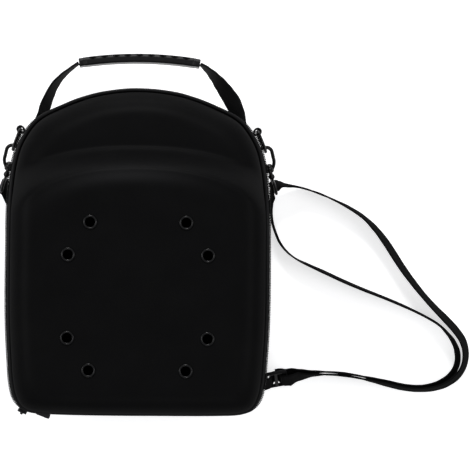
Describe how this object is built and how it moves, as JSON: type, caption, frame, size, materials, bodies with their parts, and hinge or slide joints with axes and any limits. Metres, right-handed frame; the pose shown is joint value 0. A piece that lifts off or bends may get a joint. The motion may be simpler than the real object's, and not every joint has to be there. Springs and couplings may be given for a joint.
{
  "type": "hat case",
  "caption": "Hard-shell hat case with a zipped rim, vent eyelets, an arched carrying handle, and a shoulder strap clipped to side D-rings by swivelling snap hooks.",
  "frame": {"origin": "under the middle of the case, its hooks and its handle, on the surface that it lies on", "axes": "+X to the right of the case as seen from its front, +Y towards the handle, +Z out of the front shell"},
  "size_m": [0.4546, 0.3464, 0.1714],
  "materials": {
    "shell": "fine black cloth skin over moulded foam",
    "webbing": "black woven webbing and tape",
    "black_metal": "glossy black enamel on metal",
    "grip": "satin black moulded grip",
    "trim": "black moulded plastic"
  },
  "bodies": {
    "case": {"front_shell": "shell", "eyelet_1": "black_metal", "eyelet_2": "black_metal", "eyelet_3": "black_metal", "eyelet_4": "black_metal", "eyelet_5": "black_metal", "eyelet_6": "black_metal", "eyelet_7": "black_metal", "eyelet_8": "black_metal", "back_shell": "shell", "rim_piping": "webbing", "tape_back": "webbing", "zip_chain": "trim", "tape_front": "webbing", "hinge_strip": "webbing", "zip_slider": "black_metal", "zip_end_tab": "webbing", "handle_grip": "grip", "handle_webbing_left": "webbing", "handle_webbing_right": "webbing", "d_ring_left": "black_metal", "ring_tab_left": "webbing", "swivel_eye_left": "black_metal", "d_ring_right": "black_metal", "ring_tab_right": "webbing", "swivel_eye_right": "black_metal", "slide_buckle": "trim", "strap_end_loop": "webbing", "strap_rear": "webbing", "strap_outer": "webbing", "strap_inner": "webbing"},
    "hook_left": {"snap_hook_left": "black_metal"},
    "gate_left": {"snap_gate_left": "black_metal"},
    "hook_right": {"snap_hook_right": "black_metal"},
    "gate_right": {"snap_gate_right": "black_metal"}
  },
  "joints": [
    {"name": "hook_swivel_left", "type": "hinge", "parent": "case", "child": "hook_left", "pos_m": [-0.12559, 0.06323, 0.03014], "axis": [0.2312, 0.8062, 0.5446], "range_deg": [-18, 18]},
    {"name": "gate_hinge_left", "type": "hinge", "parent": "hook_left", "child": "gate_left", "pos_m": [-0.11974, 0.06497, 0.03132], "axis": [0, -0.5598, 0.8286], "range_deg": [0, 18], "stiffness_Nm_per_rad": 0.002, "springref_deg": -17.19},
    {"name": "hook_swivel_right", "type": "hinge", "parent": "case", "child": "hook_right", "pos_m": [0.12559, 0.06314, 0.03014], "axis": [-0.2312, 0.8062, 0.5446], "range_deg": [-18, 18]},
    {"name": "gate_hinge_right", "type": "hinge", "parent": "hook_right", "child": "gate_right", "pos_m": [0.11974, 0.06489, 0.03132], "axis": [0, 0.5598, -0.8286], "range_deg": [0, 18], "stiffness_Nm_per_rad": 0.002, "springref_deg": -17.19}
  ]
}
